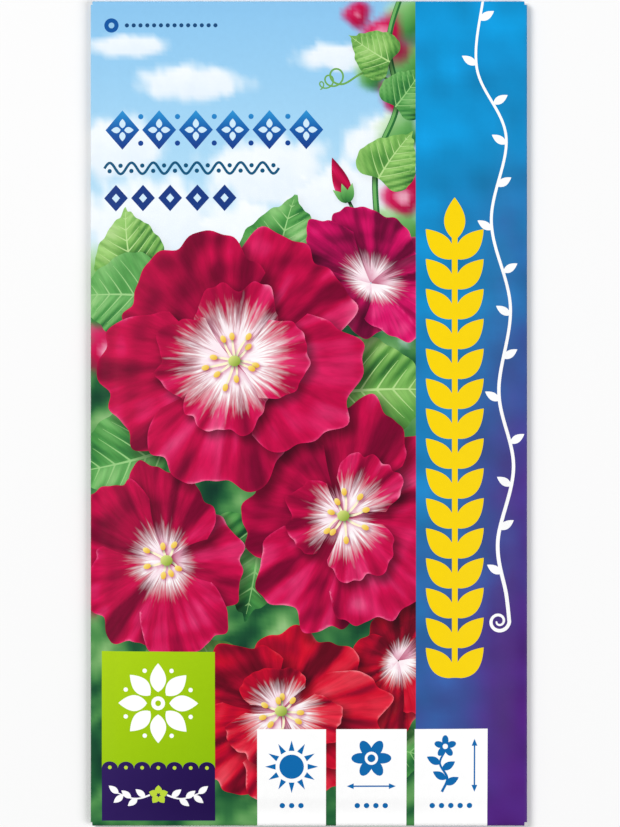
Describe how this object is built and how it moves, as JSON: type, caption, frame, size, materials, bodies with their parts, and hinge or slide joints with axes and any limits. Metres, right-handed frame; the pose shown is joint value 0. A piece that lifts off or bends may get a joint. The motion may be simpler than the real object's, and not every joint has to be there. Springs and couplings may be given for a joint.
{
  "type": "seed packet",
  "caption": "Sealed flat paper packet with a colour-printed front, folded from one blank with a glued back seam and end flaps, bulging low down over the loose seeds inside.",
  "frame": {"origin": "middle of the packet's outline, on the surface that its back lies on", "axes": "+Y up the printed front, +X to the right of someone who looks at the front, +Z out of the front"},
  "size_m": [0.082, 0.155, 0.0059],
  "materials": {
    "printed_paper": "coated paper with a satin colour print",
    "seed_coat": "dry, dark brown, matte"
  },
  "bodies": {
    "root": {"packet_paper": "printed_paper", "seed_01": "seed_coat", "seed_02": "seed_coat", "seed_03": "seed_coat", "seed_04": "seed_coat", "seed_05": "seed_coat", "seed_06": "seed_coat", "seed_07": "seed_coat", "seed_08": "seed_coat", "seed_09": "seed_coat", "seed_10": "seed_coat", "seed_11": "seed_coat", "seed_12": "seed_coat", "seed_13": "seed_coat", "seed_14": "seed_coat"}
  },
  "joints": []
}
